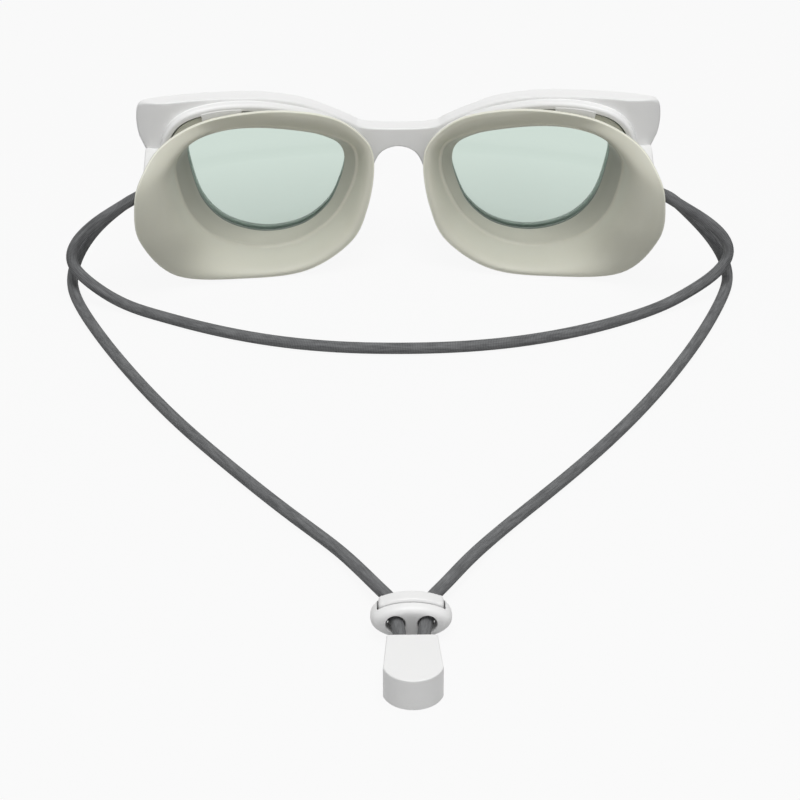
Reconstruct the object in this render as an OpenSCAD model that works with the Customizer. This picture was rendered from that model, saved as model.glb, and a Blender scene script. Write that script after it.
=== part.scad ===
// Swimming goggles standing on a table: one-piece front, soft cups, cord strap with a slide lock.
// X runs across the face, +Y looks forward, Z is up. The table is z = 0.

/* [Front frame] */
// Width of the front over both end pieces
frame_w = 150.8; // [144:0.2:158]
// Thickness of the front
frame_t = 5.8; // [5.4:0.1:6.6]
// Radius that the front is wrapped to
wrap_r = 220; // [190:5:260]
// Depth position of the middle of the front on the centre line
bow_y = 18.1; // [16:0.1:20]
// Solid lip left in front of the lens
lip_t = 2.0; // [1.6:0.1:2.4]
// Wall of the collar around each pocket
collar_wall = 2.2; // [1.8:0.1:2.4]
// Height of the collar behind the rear face
collar_h = 2.4; // [2.2:0.1:2.5]
// Width of the snap tab above each pocket
tab_w = 12; // [8:0.5:14]
// Thickness of the snap tab
tab_t = 0.85; // [0.75:0.05:1.0]

/* [Strap arms] */
// Distance of each strap arm from the outer edge of the front
arm_in = 5.5; // [5.3:0.1:5.8]
// Width of each strap arm
arm_w = 6.4; // [6:0.1:6.6]
// Height of the top of the arm where it leaves the front
arm_root = 37.6; // [37:0.1:38.2]
// Height of the top face of the arm at its lug
arm_top = 34.7; // [34.2:0.1:35.2]
// Height of the underside of the arm at its lug
arm_low = 31.4; // [31:0.1:31.8]
// Depth position of the cord hole
lug_y = -10.5; // [-11:0.1:-10]
// Height of the cord hole
lug_z = 31; // [30.6:0.1:31.4]
// Width of the round lug at the end of each arm
lug_w = 7; // [6.9:0.1:7.2]
// Thickness of the lug around the cord hole
lug_t = 3.0; // [2.6:0.1:3.2]
// Slope of the lug, in degrees
lug_tilt = 45; // [35:1:50]
// Diameter of the cord hole
lug_hole = 3.8; // [3.6:0.1:4.2]

/* [Eye cups] */
// Thickness of the lens
lens_t = 2.0; // [1.6:0.1:2.2]
// Gap between the lens and its seats
seat_gap = 0.15; // [0.1:0.05:0.2]
// Gap between the pocket wall and what sits in it
pocket_gap = 0.3; // [0.2:0.05:0.4]
// Depth of the carrier ring, front to back
carrier_d = 2.4; // [2.2:0.1:2.6]
// Depth of the carrier's lip beside the lens
carrier_lip = 0.8; // [0.6:0.1:1.0]
// Thickness of the cup's flange behind the carrier
flange_t = 0.6; // [0.5:0.05:0.7]
// Gap between the flange and the collar
flange_gap = 0.55; // [0.5:0.05:0.7]
// Thickness of the cup lining inside the carrier
lining_t = 0.8; // [0.7:0.05:1.0]
// Thickness of the cup wall at its throat
cup_wall = 1.4; // [1.2:0.1:1.7]
// Thickness of the cup wall at its rim
rim_wall = 1.1; // [0.9:0.1:1.3]
// How far the throat of the cup lies behind the middle of the front
throat_d = 8; // [7.6:0.1:9]
// How much deeper the throat lies at the temple
throat_temple = 4; // [3:0.5:5]

/* [Strap cord] */
// Diameter of the cord
cord_d = 3.2; // [2.8:0.1:3.4]
// Straight run of the cord out of each lug bend
cord_out = 1.2; // [1:0.1:1.5]

/* [Lock] */
// Depth position of the middle of the lock
lock_y = -185; // [-187:0.5:-183]
// Width of the lock body
lock_w = 19.3; // [18.6:0.1:21]
// Height of the lock body before its foot is cut flat
lock_h = 9.4; // [9.2:0.1:10]
// Depth of the lock body, front to back
lock_d = 8.4; // [8:0.1:9.2]
// Height of the cord holes
hole_z = 4.7; // [4.6:0.1:4.8]
// Distance between the cord holes
hole_pitch = 7.5; // [7.3:0.1:7.6]
// Diameter of the cord holes
hole_d = 4.6; // [4.2:0.1:4.8]

/* [Button] */
// Width of the button cap
cap_w = 14.9; // [14.2:0.1:15.2]
// Thickness of the button, front to back
cap_t = 4.1; // [3.9:0.1:4.4]
// Height of the top of the button above the table
cap_top = 9.9; // [9.7:0.1:10.4]
// How much lower the top is at its ends
cap_sag = 1.8; // [1.4:0.1:2]
// Travel of the button
travel = 1.1; // [0.8:0.1:1.1]
// Gap between the button and its pocket
button_gap = 0.2; // [0.15:0.05:0.25]
// Thickness of the floor under the button
floor_t = 0.85; // [0.7:0.05:0.9]
// Diameter of the spring bore in the button
bore_d = 2.9; // [2.7:0.1:3]

/* [Spring] */
// Outer diameter of the spring
spring_d = 2.5; // [2.3:0.1:2.6]
// Thickness of the spring wire
wire_d = 0.4; // [0.35:0.05:0.45]
// Number of turns of the spring
spring_turns = 5; // [4:1:6]

/* [Bell end] */
// Depth position of the front face of the bell
bell_y = -197.9; // [-199:0.1:-197]
// Width of the bell at its front face
bell_front_w = 11.9; // [11.4:0.1:12.6]
// Width of the bell at its widest
bell_w = 13.8; // [13.2:0.1:14.6]
// Length of the bell to the ends of its rounded back
bell_side = 13.1; // [12.6:0.1:14]
// Depth of the rounded back
bell_bow = 5.4; // [4.6:0.1:6]
// Height of the bell
bell_h = 8.1; // [7.7:0.1:8.5]
// Wall of the bell
bell_wall = 1.2; // [1:0.1:1.3]
// Height of the cord ends in the bell
bell_hole_z = 4; // [3.9:0.1:4.2]
// Distance between the cord ends in the bell
bell_pitch = 5; // [4.8:0.1:5.2]
// Diameter of the ferrule on each cord end
ferrule_d = 4.2; // [4:0.1:4.4]
// Length of each ferrule
ferrule_len = 5; // [4:0.5:6]

/* [Hidden] */

shell_white = [0.93, 0.93, 0.92];
button_white = [0.9, 0.9, 0.9];
carrier_grey = [0.33, 0.36, 0.33];
lens_green = [0.8, 0.86, 0.83, 0.6];
cup_grey = [0.68, 0.67, 0.6];
cord_grey = [0.38, 0.39, 0.39];
metal_grey = [0.7, 0.7, 0.72];

fine = 360;
sides = 8;
steps = 4;
boss_gap = 0.15;

// Depths are measured forward from the middle of the front
face_d = frame_t/2;
lens_d = face_d - lip_t - seat_gap;
carrier_front = lens_d - lens_t - seat_gap;
carrier_rear = carrier_front - carrier_d;
cup_front = carrier_front - carrier_lip - seat_gap;
cup_seat = carrier_rear - seat_gap;
flange_rear = cup_seat - flange_t;
ring_out = collar_wall + pocket_gap;

// Right eye outlines seen from behind, [across, height], from the temple over the brow to the nose,
// drawn for a front 150.8 wide
pocket_pts = [[68.6, 33], [67.9, 42], [63, 47.8], [54, 50], [43, 49.7], [32, 47.6], [21.5, 44.2],
  [12.2, 38.2], [8.8, 30.5], [10, 21], [14.5, 11], [25.5, 2.6], [41, 0.7], [57, 6.4], [65.5, 18.5]];
throat_pts = [[63.3, 31.5], [63.1, 38.1], [58.5, 42.4], [50.5, 43.8], [41, 43.4], [31, 41.9], [21.4, 39.6],
  [14.2, 36.2], [12.6, 30], [14.6, 22.3], [19.6, 13.8], [29, 7.1], [41, 5.8], [53, 10.9], [60.2, 20.3]];
lens_pts = [[60.7, 32], [60.6, 37.8], [56.3, 41.2], [49, 42.3], [40.5, 41.6], [31.5, 39.9], [23, 37.5],
  [17.4, 34.4], [15.8, 29.8], [17, 23.3], [20.9, 14.9], [28.6, 8.9], [39.5, 7.5], [50.3, 11.6],
  [57.3, 19.9]];
// Rim of the cup, [across, depth, height]
rim_pts = [[75, -21, 31.7], [72.7, -19.2, 38.3], [67.3, -9.5, 42.2], [57.8, 0.2, 45.8],
  [44.2, 3, 49], [30.5, 4.8, 48.9], [17.5, 6.1, 45.6], [9, 6.3, 38.4], [7.1, 5, 31],
  [9, 2.6, 19.5], [13.9, 0.3, 9.5], [26.8, -2.8, 1.8], [44.5, -5.3, 0.5], [64.4, -10.6, 4.2],
  [73.8, -19.2, 19.2]];
// Right half of the front's outline, from the bridge over the end piece and back under the arch
end_u = frame_w/2;
front_pts = [[0, 38.8], [10, 39.4], [14.6, 41.6], [20.2, 44.3], [28.5, 47.8], [39.5, 50.2],
  [51, 51.2], [62, 51.8], [70.6, 51.9], [73.5, 51.6], [74.9, 50.4], [75.4, 47.8], [75.4, 44.6],
  [74.9, 41.4], [73.8, 38.8], [71.9, 34.4], [70.5, 27.5], [68.4, 21], [65.2, 14.5], [58.5, 6.2],
  [51, 1.8], [44, 0], [36, 0], [24.5, 1.2], [14, 8.8], [8.8, 19.5], [7.2, 27], [4.6, 31.4], [0, 33]];
across = frame_w/150.8;
function widened(p) = [for (q = p) len(q) == 2 ? [q[0]*across, q[1]] : [q[0]*across, q[1], q[2]]];

function unit(v) = v/norm(v);
function mix(a, b, t) = a*(1 - t) + b*t;
function curve(a, b, c, d, t) = 0.5*(2*b + (c - a)*t + (2*a - 5*b + 4*c - d)*t*t
  + (3*b - a - 3*c + d)*t*t*t);
function smooth(p, n) = let (m = len(p))
  [for (i = [0:m - 1], k = [0:n - 1]) curve(p[(i + m - 1)%m], p[i], p[(i + 1)%m], p[(i + 2)%m], k/n)];
function inward(p) = let (m = len(p))
  [for (i = [0:m - 1]) let (t = unit(p[(i + 1)%m] - p[(i + m - 1)%m])) [-t[1], t[0]]];
function inset(p, a) = let (n = inward(p)) [for (i = [0:len(p) - 1]) p[i] + a*n[i]];
// Point of the wrapped front: across, depth from its middle, height
function wrapped(p, d) =
  [p[0], bow_y - wrap_r + sqrt(pow(wrap_r + d, 2) - p[0]*p[0]), p[1]];

pocket = smooth(widened(pocket_pts), steps);
throat = smooth(widened(throat_pts), steps);
opening = smooth(widened(lens_pts), steps);
rim = smooth(widened(rim_pts), steps);
pocket_in = inward(pocket);
throat_in = inward(throat);
opening_in = inward(opening);
stations = len(pocket);

ghosts = widened(concat([[-10, 39.4]], front_pts, [[-4.6, 31.4]]));
half_front = [for (i = [0:len(front_pts) - 2], k = [0:2])
  curve(ghosts[i], ghosts[i + 1], ghosts[i + 2], ghosts[i + 3], k/3)];
front_outline = concat(
  [for (p = half_front) [p[0], max(p[1], 0)]], [[0, 33]],
  [for (i = [len(half_front) - 1:-1:1]) [-half_front[i][0], max(half_front[i][1], 0)]]);

module prism(p) {
  rotate([90, 0, 0]) linear_extrude(height = 140, center = true) polygon(p);
}

// Wrapped sheet between two depths
module sheet(d0, d1) {
  translate([0, bow_y - wrap_r, -5]) difference() {
    cylinder(r = wrap_r + d1, h = 62, $fn = fine);
    translate([0, 0, -1]) cylinder(r = wrap_r + d0, h = 64, $fn = fine);
  }
}

// Closed skin over a ring of closed sections, one list of points for each section
module ring_skin(rows) {
  n = len(rows);
  m = len(rows[0]);
  polyhedron(points = [for (r = rows, p = r) p],
    faces = [for (i = [0:n - 1], j = [0:m - 1], h = [0:1])
      let (a = i*m + j, b = i*m + (j + 1)%m, c = ((i + 1)%n)*m + (j + 1)%m, d = ((i + 1)%n)*m + j)
      h == 0 ? [a, c, b] : [a, d, c]]);
}

// Skin over a stack of closed sections with a flat end on each side
module stack_skin(rows) {
  n = len(rows);
  m = len(rows[0]);
  polyhedron(points = [for (r = rows, p = r) p],
    faces = concat([[for (j = [0:m - 1]) j]],
      [for (i = [0:n - 2], j = [0:m - 1], h = [0:1])
        let (a = i*m + j, b = i*m + (j + 1)%m, c = (i + 1)*m + (j + 1)%m, d = (i + 1)*m + j)
        h == 0 ? [a, c, b] : [a, d, c]],
      [[for (j = [m - 1:-1:0]) (n - 1)*m + j]]));
}

function carried(t, i, u) = i >= len(t) ? []
  : let (v = unit(u - (u*t[i])*t[i])) concat([v], carried(t, i + 1, v));
function tangents(p) = let (m = len(p)) [for (i = [0:m - 1])
  unit(i == 0 ? p[1] - p[0] : i == m - 1 ? p[m - 1] - p[m - 2]
    : unit(p[i + 1] - p[i]) + unit(p[i] - p[i - 1]))];

// Round tube swept along a route, with square ends
module tube(p, r, n, across) {
  t = tangents(p);
  u = carried(t, 0, across);
  stack_skin([for (i = [0:len(p) - 1]) let (v = cross(t[i], u[i]))
    [for (k = [0:n - 1]) p[i] + r*(cos(k*360/n)*u[i] + sin(k*360/n)*v)]]);
}

// Band of the collar shape between two insets of the pocket outline
module band(a, b, d0, d1) {
  intersection() {
    difference() {
      prism(inset(pocket, a));
      prism(inset(pocket, b));
    }
    sheet(d0, d1);
  }
}

rear = -face_d;
// Rounded back edge of the collar: inset and share of its height for each step
collar_steps = [[0, 0.5], [0.25, 0.76], [0.65, 0.92], [1.15, 1]];

module collar() {
  for (c = collar_steps) intersection() {
    prism(inset(pocket, c[0]));
    sheet(rear - c[1]*collar_h, rear + 1.8);
  }
}

// Sloped back of each end piece, cut from the plate in plan
slope_from = end_u - 10.4;
module end_slope() {
  translate([0, 0, -1]) linear_extrude(60) polygon([
    for (q = [[0, -0.05], [5.4, 1.5], [8.4, 3], [10.6, 4.6]])
      let (w = wrapped([slope_from + q[0], 0], rear + q[1])) [w[0], w[1]],
    [end_u + 1, -15], [slope_from, -15]]);
}

tab_u = 51*across;
tab_front = flange_rear - 0.1;
tab_reach = collar_wall + flange_gap + 1.05;
module snap_tab() {
  intersection() {
    band(collar_wall - 0.6, tab_reach, tab_front - tab_t, tab_front);
    translate([tab_u - tab_w/2, -20, 38]) cube([tab_w, 60, 14]);
  }
}

arm_u = end_u - arm_in;
hole_axis = [0, -sin(lug_tilt), cos(lug_tilt)];
lug_run = [0, cos(lug_tilt), sin(lug_tilt)];
lug_face = [0, lug_y, lug_z] + hole_axis*lug_t/2;
lug_back = [0, lug_y, lug_z] - hole_axis*lug_t/2;
function along(p, z) = p + lug_run*(z - p[2])/lug_run[2];
function side_of(p) = [p[1], p[2]];
arm_side = [[6, arm_root], [3, arm_root], side_of(along(lug_face, arm_top)) + [1, 0],
  side_of(along(lug_face, arm_top)) + [0.15, -0.25], side_of(along(lug_face, arm_top - 1)),
  side_of(lug_face), side_of(lug_back), side_of(along(lug_back, arm_low - 0.8)),
  side_of(along(lug_back, arm_low)) + [0.2, -0.2], side_of(along(lug_back, arm_low)) + [1.2, 0],
  [3, arm_low + arm_root - arm_top], [6, arm_low + arm_root - arm_top]];

module arm() {
  difference() {
    union() {
      translate([arm_u - arm_w/2, 0, 0]) rotate([90, 0, 90]) linear_extrude(arm_w) polygon(arm_side);
      translate([arm_u, lug_y, lug_z]) rotate([lug_tilt, 0, 0])
        cylinder(d = lug_w, h = lug_t, center = true, $fn = 64);
    }
    translate([arm_u, lug_y, lug_z]) rotate([lug_tilt, 0, 0])
      cylinder(d = lug_hole, h = lug_t*3, center = true, $fn = 48);
  }
}

module eye_cut() {
  prism(opening);
  intersection() {
    prism(inset(pocket, collar_wall));
    sheet(-30, face_d - lip_t);
  }
}

module front_frame() {
  color(shell_white) {
    difference() {
      union() {
        difference() {
          intersection() {
            prism(front_outline);
            sheet(-face_d, face_d);
          }
          for (s = [0, 1]) mirror([s, 0, 0]) end_slope();
        }
        for (s = [0, 1]) mirror([s, 0, 0]) collar();
      }
      for (s = [0, 1]) mirror([s, 0, 0]) eye_cut();
    }
    for (s = [0, 1]) mirror([s, 0, 0]) {
      arm();
      snap_tab();
    }
  }
}

module lens() {
  color(lens_green) intersection() {
    prism(inset(pocket, ring_out));
    sheet(lens_d - lens_t, lens_d);
  }
}

// Depth of the throat at a place across, deeper towards the temple
function throat_at(u) = -throat_d - throat_temple*pow(max(0, (u/across - 40)/23), 2);
// Place on the lining between the opening and the throat at a depth
function lining_at(i, d) = let (e = throat_at(throat[i][0]))
  mix(opening[i], throat[i], max(0, (cup_front - d)/(cup_front - e)));

function carrier_section(i) = let (
  o = pocket[i] + ring_out*pocket_in[i],
  g = -(lining_t + boss_gap)*opening_in[i])
  [wrapped(o, carrier_front), wrapped(opening[i], carrier_front),
   wrapped(opening[i], carrier_front - carrier_lip),
   wrapped(opening[i] + g, carrier_front - carrier_lip),
   wrapped(lining_at(i, carrier_rear) + g, carrier_rear),
   wrapped(o + 0.4*pocket_in[i], carrier_rear), wrapped(o, carrier_rear + 0.4)];

module carrier() {
  color(carrier_grey) ring_skin([for (i = [0:stations - 1]) carrier_section(i)]);
}

function bezier(p, t) = let (s = 1 - t)
  s*s*s*p[0] + 3*s*s*t*p[1] + 3*s*t*t*p[2] + t*t*t*p[3];
function bezier_dir(p, t) = let (s = 1 - t)
  s*s*(p[1] - p[0]) + 2*s*t*(p[2] - p[1]) + t*t*(p[3] - p[2]);
flare_t = [0.18, 0.36, 0.54, 0.72, 0.87, 1];
tip_round = 0.45;

// Section of the cup wall at one station: lining, throat, flare, rounded rim and back outside
function cup_section(i) = let (
  a = wrapped(throat[i], throat_at(throat[i][0])),
  b = rim[i],
  flat = [b[0] - a[0], b[2] - a[2]],
  out = unit(flat),
  run = norm(flat) - tip_round,
  drop = b[1] - a[1],
  lead = -drop*(0.35 + 0.4*min(1, -drop/20)),
  spread = 0.25 - 0.2*min(1, max(0, (throat[i][0]/across - 48)/12)),
  path = [[0, 0], [spread*run, -(0.6 + 1.6*(0.25 - spread))*lead], [0.55*run, drop], [run, drop]],
  inner = [for (t = flare_t) bezier(path, t)],
  outer = [for (t = concat([0], flare_t)) let (d = unit(bezier_dir(path, t)))
    bezier(path, t) + mix(cup_wall, rim_wall, t)*[-d[1], d[0]]],
  tip = [[run + tip_round*0.8, drop + rim_wall*0.25], [run + tip_round*0.8, drop + rim_wall*0.75]],
  edge = pocket[i] + (collar_wall + flange_gap)*pocket_in[i],
  root = mix(throat[i], edge, 0.55),
  lining = -lining_t*opening_in[i])
  concat([wrapped(opening[i], cup_front), a],
    [for (p = concat(inner, tip, [for (k = [len(outer) - 1:-1:0]) outer[k]]))
      a + [out[0]*p[0], p[1], out[1]*p[0]]],
    [wrapped(root, flange_rear), wrapped(edge, flange_rear), wrapped(edge, cup_seat),
     wrapped(lining_at(i, cup_seat) + lining, cup_seat),
     wrapped(opening[i] + lining, cup_front)]);

module cup() {
  color(cup_grey) ring_skin([for (i = [0:stations - 1]) cup_section(i)]);
}

// Cord: the bend through each lug, then round points chosen along the table
bend_r = cord_d/2 + 0.2;
function lug_at(s) = [s*arm_u, lug_y, lug_z];
function out_dir(s, dip) = [s*cos(dip), -sin(dip)*sin(lug_tilt), -sin(dip)*cos(lug_tilt)];
upper_dip = 28;
lower_dip = 0;
function leave(s, way, dip, run) = lug_at(s) + hole_axis*way*(lug_t/2 + bend_r)
  + out_dir(s, dip)*(bend_r + run);
function bend(s, way, dip) = [for (w = [0, 45, 90])
  lug_at(s) + hole_axis*way*(lug_t/2 + bend_r*sin(w)) + out_dir(s, dip)*bend_r*(1 - cos(w))];
function turn_path(s) = let (a = bend(s, 1, upper_dip), b = bend(s, -1, lower_dip))
  [leave(s, 1, upper_dip, cord_out), a[2], a[1], a[0], b[0], b[1], b[2],
   leave(s, -1, lower_dip, cord_out)];

cord_z = cord_d/2;
back_pts = [[-80.5, -14.2, 27.6], [-85.5, -13.6, 24.1], [-89.5, -13, 20.4], [-92.5, -13, 17.1],
  [-94.3, -13.3, 13.5], [-94.2, -14.3, 10.2], [-91.5, -16.4, 7.7], [-87.5, -19.2, 5.5],
  [-82, -22.5, 3.2], [-75, -26.2, cord_z], [-66.5, -31, cord_z], [-56.5, -36.8, cord_z],
  [-43, -42.9, cord_z], [-29, -47.2, cord_z], [-14.5, -49.6, cord_z], [0, -50.2, cord_z],
  [14.5, -49.8, cord_z], [29, -47.7, cord_z], [43, -43.7, cord_z], [56.5, -38, cord_z],
  [67, -31.8, cord_z], [76, -26.2, 2], [83, -21.8, 3.9], [88.5, -18.5, 5.8],
  [92.8, -15.6, 8.3], [95, -13.8, 11.6], [94.2, -13.4, 15.3], [91.8, -13.5, 18.8],
  [88.2, -13.8, 22.1], [84, -14.1, 25.2], [80, -14.4, 27.8]];
left_pts = [[-81, -8.8, 24.8], [-86.2, -8.5, 20], [-90.3, -8, 14.6], [-93.6, -7.7, 8.5],
  [-95, -9.6, 3.6], [-94.3, -14.5, cord_z], [-91.5, -24, cord_z], [-86.5, -36.8, cord_z],
  [-80, -51.5, cord_z], [-72.5, -66.8, cord_z], [-64, -82.8, cord_z], [-55.2, -97.5, cord_z],
  [-46, -111.5, cord_z], [-36.8, -125.2, cord_z], [-27.5, -138.4, cord_z], [-18.5, -150.6, 1.9],
  [-13.4, -160, 2.6], [-9.4, -168.6, 3.6]];
right_pts = [[79.3, -8.6, 26.4], [84, -9, 21.6], [88, -9, 17.3], [91.5, -8.6, 12.4],
  [94.3, -8.3, 7.4], [95.6, -9.6, 3], [94.6, -15, cord_z], [91.3, -25.3, cord_z],
  [85.8, -39.8, cord_z], [79, -55, cord_z], [71.2, -70.8, cord_z], [62.5, -86.5, cord_z],
  [53.3, -101.5, cord_z], [43.8, -115.6, cord_z], [34.5, -128.5, cord_z], [25.5, -140.9, 1.7],
  [17.4, -153.2, 2.2], [12.8, -162, 3], [9.4, -169, 3.6]];
function entry(s) = let (x = s*hole_pitch/2, y = lock_y + lock_d/2)
  [[x + s*3.1, y + 6.8, hole_z - 0.6], [x + s*1.5, y + 3.6, hole_z - 0.2], [x + s*0.5, y + 0.8, hole_z],
   [x, y - 1.8, hole_z], [x, lock_y, hole_z]];

module cord_turn(s) {
  color(cord_grey) tube(turn_path(s), cord_d/2, sides, cross(hole_axis, [s, 0, 0]));
}

module cord_back() {
  color(cord_grey) tube(concat([leave(-1, 1, upper_dip, cord_out), leave(-1, 1, upper_dip, cord_out + 3)],
    widened(back_pts), [leave(1, 1, upper_dip, cord_out + 3), leave(1, 1, upper_dip, cord_out)]),
    cord_d/2, sides, [0, 1, 0]);
}

module cord_front(s) {
  color(cord_grey) tube(concat(
    [leave(s, -1, lower_dip, cord_out), leave(s, -1, lower_dip, cord_out + 2.6)],
    widened(s < 0 ? left_pts : right_pts), entry(s)), cord_d/2, sides, [0, 1, 0]);
}

// Lock body: an egg-shaped slice with domed faces, cut flat where it lies
lock_mid = lock_h/2 - 0.2;
lock_rows = [[-0.5, 0.5], [-0.49, 0.66], [-0.465, 0.78], [-0.41, 0.885], [-0.31, 0.955], [-0.18, 0.99],
  [0, 1], [0.2, 0.985], [0.35, 0.935], [0.44, 0.855], [0.485, 0.75], [0.5, 0.62]];

pocket_t = cap_t + 2*button_gap;
pocket_y = lock_y + 0.7;
slot_w = cord_d + 0.6;
slot_low = hole_z - cord_d/2 - 0.15;
leg_low = floor_t + travel;
leg_w = hole_pitch + slot_w - 0.5;
cap_low = hole_z + 0.3;

module lock_body() {
  color(shell_white) difference() {
    stack_skin([for (r = lock_rows) [for (k = [0:39])
      [lock_w/2*r[1]*cos(k*9), lock_y + r[0]*lock_d,
       max(0, lock_mid - lock_h/2*r[1]*sin(k*9))]]]);
    for (s = [-1, 1]) translate([s*hole_pitch/2, lock_y, hole_z]) rotate([90, 0, 0])
      cylinder(d = hole_d, h = lock_d*2, center = true, $fn = 48);
    translate([-cap_w/2 - button_gap, pocket_y - pocket_t/2, cap_low - travel - button_gap])
      cube([cap_w + 2*button_gap, pocket_t, 20]);
    translate([-leg_w/2 - button_gap, pocket_y - pocket_t/2, floor_t])
      cube([leg_w + 2*button_gap, pocket_t, 20]);
  }
}

cap_arc = (pow(cap_w/2, 2) + pow(cap_sag, 2))/(2*cap_sag);
bore_top = slot_low + slot_w + travel - 0.6;

module lock_button() {
  color(button_white) difference() {
    union() {
      intersection() {
        translate([-cap_w/2, pocket_y - cap_t/2, cap_low]) cube([cap_w, cap_t, cap_top - cap_low]);
        translate([0, pocket_y, cap_top - cap_arc]) rotate([90, 0, 0])
          cylinder(r = cap_arc, h = cap_t*2, center = true, $fn = fine);
      }
      translate([-leg_w/2, pocket_y - cap_t/2, leg_low]) cube([leg_w, cap_t, cap_low - leg_low + 0.5]);
    }
    for (s = [-1, 1]) translate([s*hole_pitch/2 - slot_w/2, pocket_y - cap_t, slot_low])
      cube([slot_w, cap_t*2, slot_w + travel]);
    translate([0, pocket_y, leg_low - 1]) cylinder(d = bore_d, h = bore_top - leg_low + 1, $fn = 40);
  }
}

turn_steps = 8;
spring_low = floor_t + wire_d/2 + 0.05;
spring_high = bore_top - wire_d/2 - 0.05;

module lock_spring() {
  n = spring_turns*turn_steps;
  r = (spring_d - wire_d)/2;
  color(metal_grey) tube([for (k = [0:n]) [r*cos(k*360/turn_steps), pocket_y + r*sin(k*360/turn_steps),
    spring_low + (spring_high - spring_low)*k/n]], wire_d/2, 6, [0, 0, 1]);
}

// Cord ends from the lock into the bell
corner = 0.6;
tail_end = bell_y - bell_wall - corner - ferrule_len;
function tail_path(s) = [[s*hole_pitch/2, lock_y, hole_z], [s*hole_pitch/2, lock_y - 1, hole_z],
  [s*(hole_pitch/2 - 0.5), lock_y - lock_d/2, hole_z - 0.1],
  [s*bell_pitch/2, bell_y + 1.5, bell_hole_z], [s*bell_pitch/2, bell_y - bell_wall, bell_hole_z],
  [s*bell_pitch/2, tail_end, bell_hole_z]];

module cord_tail(s) {
  color(cord_grey) tube(tail_path(s), cord_d/2, sides, [0, 0, 1]);
}

module ferrule(s) {
  color(metal_grey) translate([s*bell_pitch/2, tail_end, bell_hole_z]) rotate([-90, 0, 0])
    difference() {
      cylinder(d = ferrule_d, h = ferrule_len - 0.3, $fn = 48);
      translate([0, 0, -1]) cylinder(d = cord_d + 0.1, h = ferrule_len + 2, $fn = 48);
    }
}

// Plan of the bell, drawn in by a wall: straight front, sides that spread, rounded back
bell_arc = (pow(bell_w/2, 2) + pow(bell_bow, 2))/(2*bell_bow);
bell_centre = bell_y - bell_side - bell_bow + bell_arc;
function bell_plan(a) = let (f = bell_front_w/2 - a, r = bell_arc - a, w = asin((bell_w/2 - a)/r))
  concat([[-f + corner, bell_y - a], [-f, bell_y - a - corner]],
    [for (k = [0:16]) [r*sin(w*(k/8 - 1)), bell_centre - r*cos(w*(k/8 - 1))]],
    [[f, bell_y - a - corner], [f - corner, bell_y - a]]);
bell_rows = [[0, 0], [bell_h - 0.6, 0], [bell_h - 0.22, 0.12], [bell_h, 0.5]];

module bell_cover() {
  color(shell_white) difference() {
    stack_skin([for (r = bell_rows) [for (p = bell_plan(r[1])) [p[0], p[1], r[0]]]]);
    translate([0, 0, -1]) linear_extrude(bell_h - bell_wall + 1) polygon(bell_plan(bell_wall));
    for (s = [-1, 1]) translate([s*bell_pitch/2, bell_y, bell_hole_z]) rotate([90, 0, 0])
      cylinder(d = cord_d + 0.3, h = bell_wall*4, center = true, $fn = 48);
  }
}

module bell_base() {
  color(shell_white) linear_extrude(bell_wall) polygon(bell_plan(bell_wall + 0.1));
}

front_frame();
mirror([1, 0, 0]) carrier();  // carrier_left
carrier();  // carrier_right
mirror([1, 0, 0]) lens();  // lens_left
lens();  // lens_right
mirror([1, 0, 0]) cup();  // gasket_left
cup();  // gasket_right
cord_back();
cord_front(-1);  // cord_left
cord_front(1);  // cord_right
cord_turn(-1);  // cord_turn_left
cord_turn(1);  // cord_turn_right
lock_body();
lock_button();
lock_spring();
cord_tail(-1);  // cord_tail_left
cord_tail(1);  // cord_tail_right
ferrule(-1);  // ferrule_left
ferrule(1);  // ferrule_right
bell_cover();
bell_base();
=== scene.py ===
import bpy, bmesh, math
from mathutils import Matrix, Vector


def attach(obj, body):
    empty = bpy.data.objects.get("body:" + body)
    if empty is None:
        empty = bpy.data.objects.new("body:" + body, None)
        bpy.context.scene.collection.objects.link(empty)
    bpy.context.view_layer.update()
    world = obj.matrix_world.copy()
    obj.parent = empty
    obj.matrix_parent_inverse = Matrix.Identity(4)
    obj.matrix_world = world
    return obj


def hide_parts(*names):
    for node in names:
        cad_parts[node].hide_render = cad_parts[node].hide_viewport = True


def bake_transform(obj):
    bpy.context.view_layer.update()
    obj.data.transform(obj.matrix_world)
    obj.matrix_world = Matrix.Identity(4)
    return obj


# Swimming goggles on a white table: white front, soft cups, cord strap with slide lock and bell end.
# Shapes are drawn in millimetres and scaled to metres when a piece is finished.
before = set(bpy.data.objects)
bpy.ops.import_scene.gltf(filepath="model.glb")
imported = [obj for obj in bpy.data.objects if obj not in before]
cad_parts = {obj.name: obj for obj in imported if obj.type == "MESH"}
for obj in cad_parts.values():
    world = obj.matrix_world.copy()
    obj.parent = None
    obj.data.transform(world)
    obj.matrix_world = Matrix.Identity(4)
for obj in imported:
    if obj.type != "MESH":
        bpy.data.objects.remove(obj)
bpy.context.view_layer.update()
scene = bpy.context.scene
scene.view_settings.view_transform = "Standard"
mm = 0.001

cameraView = dict(place=(-0.0110, -0.7189, 0.3712), tilt=60, turn=-0.9, lens=123.65, sensor=36)
cameraData = bpy.data.cameras.new("camera")
cameraData.lens = cameraView["lens"]
cameraData.sensor_width = cameraView["sensor"]
cameraData.clip_start, cameraData.clip_end = 0.02, 20
camera = bpy.data.objects.new("camera", cameraData)
camera.location = cameraView["place"]
camera.rotation_euler = (math.radians(cameraView["tilt"]), 0, math.radians(cameraView["turn"]))
scene.collection.objects.link(camera)
scene.camera = camera
print("camera set")


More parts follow.
